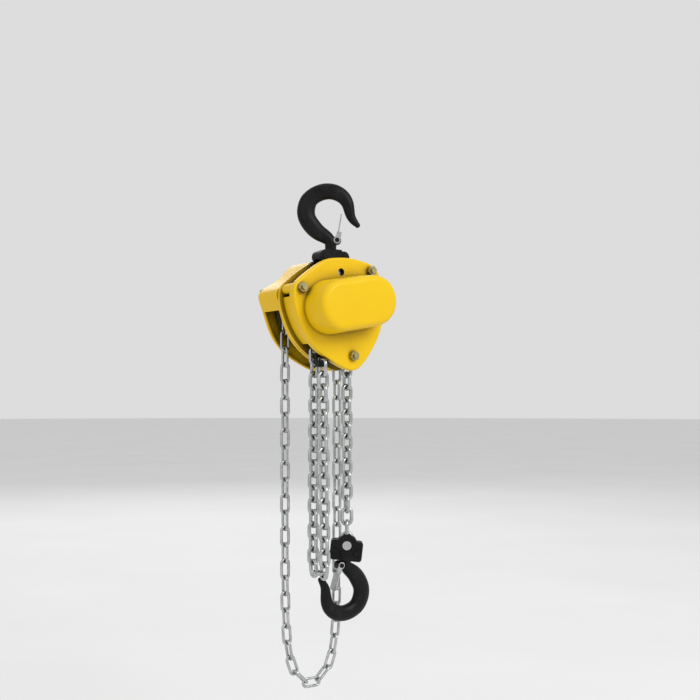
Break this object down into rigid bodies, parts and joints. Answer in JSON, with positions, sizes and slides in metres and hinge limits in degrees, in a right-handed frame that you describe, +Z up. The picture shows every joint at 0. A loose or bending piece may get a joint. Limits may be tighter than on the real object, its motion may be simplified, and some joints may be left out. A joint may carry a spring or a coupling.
{
  "type": "chain hoist",
  "caption": "Hand-operated chain hoist with swivelling top and bottom hooks, geared load sheave under pressed covers, a load chain and an endless hand chain",
  "frame": {"origin": "the seat of the top hook, where its load bears, on the hook's swivel axis", "axes": "+Z up along the top swivel axis, +Y from the gear side to the hand wheel side along the load sheave's axis, +X to the right as the gear side is seen"},
  "size_m": [0.1597, 0.1585, 0.7595],
  "materials": {
    "yellow_paint": "gloss enamel",
    "black_paint": "satin black enamel",
    "zinc_steel": "bright zinc plate",
    "yellow_zinc": "yellow zinc plate",
    "machined_steel": "machined, oiled",
    "cast_steel": "as cast, machined where it bears",
    "bronze": "machined",
    "friction_lining": "moulded friction lining"
  },
  "bodies": {
    "top_hook": {"top_hook": "black_paint", "top_hook_collar": "machined_steel", "top_latch_pin": "black_paint"},
    "top_latch": {"top_latch": "zinc_steel"},
    "top_yoke": {"yoke_gear_side": "black_paint", "yoke_wheel_side": "black_paint", "yoke_rivets": "black_paint", "suspension_pin": "machined_steel", "suspension_clip": "machined_steel"},
    "hoist_frame": {"gear_cover": "yellow_paint", "gear_cover_nuts": "yellow_zinc", "gear_side_plate": "yellow_paint", "wheel_side_plate": "yellow_paint", "frame_band_left": "yellow_paint", "frame_band_right": "yellow_paint", "stay_bolts": "yellow_zinc", "stay_spacers": "yellow_paint", "hand_wheel_cover": "yellow_paint", "wheel_cover_nuts": "yellow_zinc", "gear_side_bearing": "machined_steel", "wheel_side_bearing": "machined_steel", "chain_stripper": "machined_steel", "stripper_pin": "machined_steel", "roller_pins": "machined_steel", "chain_anchor": "black_paint", "anchor_pin": "black_paint", "anchor_screws": "machined_steel", "intermediate_bushes": "bronze", "bearing_bridge": "machined_steel", "pawl_pins": "machined_steel", "pawl_springs": "machined_steel", "load_chain_on_sheave": "zinc_steel", "load_chain_slack": "zinc_steel", "hand_chain_on_wheel": "zinc_steel", "hand_chain_loop": "zinc_steel"},
    "load_sheave": {"load_sheave": "cast_steel", "load_gear": "machined_steel", "load_gear_ring": "machined_steel"},
    "intermediate_gear_right": {"intermediate_gear_1": "machined_steel"},
    "intermediate_gear_left": {"intermediate_gear_2": "machined_steel"},
    "drive_shaft": {"pinion_shaft": "machined_steel", "friction_hub": "machined_steel", "friction_discs": "friction_lining"},
    "ratchet_disc": {"ratchet_disc": "machined_steel"},
    "upper_pawl": {"pawl_1": "machined_steel"},
    "lower_pawl": {"pawl_2": "machined_steel"},
    "hand_wheel": {"hand_wheel": "cast_steel", "castle_nut": "machined_steel"},
    "guide_roller_left": {"guide_roller_left": "cast_steel"},
    "guide_roller_right": {"guide_roller_right": "cast_steel"},
    "hook_strand": {"load_chain_hook_strand": "zinc_steel"},
    "hook_block": {"block_half_front": "black_paint", "block_half_rear": "black_paint", "block_bolts": "black_paint", "chain_pin": "machined_steel"},
    "bottom_hook": {"bottom_hook": "black_paint", "bottom_hook_collar": "machined_steel", "bottom_latch_pin": "black_paint"},
    "bottom_latch": {"bottom_latch": "zinc_steel"}
  },
  "joints": [
    {"name": "top_swivel", "type": "hinge", "parent": "top_hook", "child": "top_yoke", "pos_m": [0, 0, -0.083], "axis": [0, 0, 1], "continuous": true},
    {"name": "top_latch_hinge", "type": "hinge", "parent": "top_hook", "child": "top_latch", "pos_m": [0.00797, -0.00517, -0.061], "axis": [-0.5446, -0.8387, 0], "range_deg": [0, 24], "stiffness_Nm_per_rad": 0.05, "springref_deg": -28.65},
    {"name": "suspension_swing", "type": "hinge", "parent": "top_yoke", "child": "hoist_frame", "pos_m": [0, 0, -0.1103], "axis": [0, 1, 0], "range_deg": [-40, 40]},
    {"name": "hand_wheel_spin", "type": "hinge", "parent": "hoist_frame", "child": "hand_wheel", "pos_m": [0.002, 0.057, -0.1585], "axis": [0, 1, 0], "range_deg": [0, 1200], "deforming": ["load_chain_on_sheave", "hand_chain_on_wheel"]},
    {"name": "drive_shaft_spin", "type": "hinge", "parent": "hoist_frame", "child": "drive_shaft", "pos_m": [0.002, 0, -0.1585], "axis": [0, 1, 0], "range_deg": [0, 1200]},
    {"name": "intermediate_right_spin", "type": "hinge", "parent": "hoist_frame", "child": "intermediate_gear_right", "pos_m": [0.03451, -0.04, -0.15283], "axis": [0, 1, 0], "range_deg": [-266.68, 0]},
    {"name": "intermediate_left_spin", "type": "hinge", "parent": "hoist_frame", "child": "intermediate_gear_left", "pos_m": [-0.03051, -0.04, -0.16417], "axis": [0, 1, 0], "range_deg": [-266.68, 0]},
    {"name": "load_sheave_spin", "type": "hinge", "parent": "hoist_frame", "child": "load_sheave", "pos_m": [0.002, 0, -0.1585], "axis": [0, 1, 0], "range_deg": [0, 71.8]},
    {"name": "hook_travel", "type": "slide", "parent": "hoist_frame", "child": "hook_strand", "axis": [0, 0, -1], "range_m": [0, 0.0366]},
    {"name": "ratchet_spin", "type": "hinge", "parent": "hoist_frame", "child": "ratchet_disc", "pos_m": [0.002, 0.0324, -0.1585], "axis": [0, 1, 0], "continuous": true},
    {"name": "upper_pawl_lift", "type": "hinge", "parent": "hoist_frame", "child": "upper_pawl", "pos_m": [-0.01783, 0.0324, -0.11479], "axis": [0, -1, 0], "range_deg": [0, 12], "stiffness_Nm_per_rad": 0.05, "springref_deg": -28.65},
    {"name": "lower_pawl_lift", "type": "hinge", "parent": "hoist_frame", "child": "lower_pawl", "pos_m": [0.02183, 0.0324, -0.20221], "axis": [0, -1, 0], "range_deg": [0, 12], "stiffness_Nm_per_rad": 0.05, "springref_deg": -28.65},
    {"name": "left_roller_spin", "type": "hinge", "parent": "hoist_frame", "child": "guide_roller_left", "pos_m": [-0.0442, 0, -0.167], "axis": [0, 1, 0], "continuous": true},
    {"name": "right_roller_spin", "type": "hinge", "parent": "hoist_frame", "child": "guide_roller_right", "pos_m": [0.0482, 0, -0.167], "axis": [0, 1, 0], "continuous": true},
    {"name": "block_tilt", "type": "hinge", "parent": "hook_strand", "child": "hook_block", "pos_m": [0.02884, 0, -0.51302], "axis": [0.5446, 0.8387, 0], "range_deg": [-8, 4]},
    {"name": "bottom_swivel", "type": "hinge", "parent": "hook_block", "child": "bottom_hook", "pos_m": [0.02751, 0.00086, -0.52694], "axis": [0.0949, -0.0617, 0.9936], "continuous": true},
    {"name": "bottom_latch_hinge", "type": "hinge", "parent": "bottom_hook", "child": "bottom_latch", "pos_m": [0.0165, 0.00185, -0.54233], "axis": [-0.0029, -0.9981, -0.0617], "range_deg": [0, 24], "stiffness_Nm_per_rad": 0.05, "springref_deg": -28.65}
  ],
  "couplings": [
    {"joint": "drive_shaft_spin", "follows": "hand_wheel_spin", "ratio": 1},
    {"joint": "intermediate_right_spin", "follows": "hand_wheel_spin", "ratio": -0.22222},
    {"joint": "intermediate_left_spin", "follows": "hand_wheel_spin", "ratio": -0.22222},
    {"joint": "load_sheave_spin", "follows": "hand_wheel_spin", "ratio": 0.059829},
    {"joint": "hook_travel", "follows": "hand_wheel_spin", "m_per_rad": 0.0017473}
  ]
}
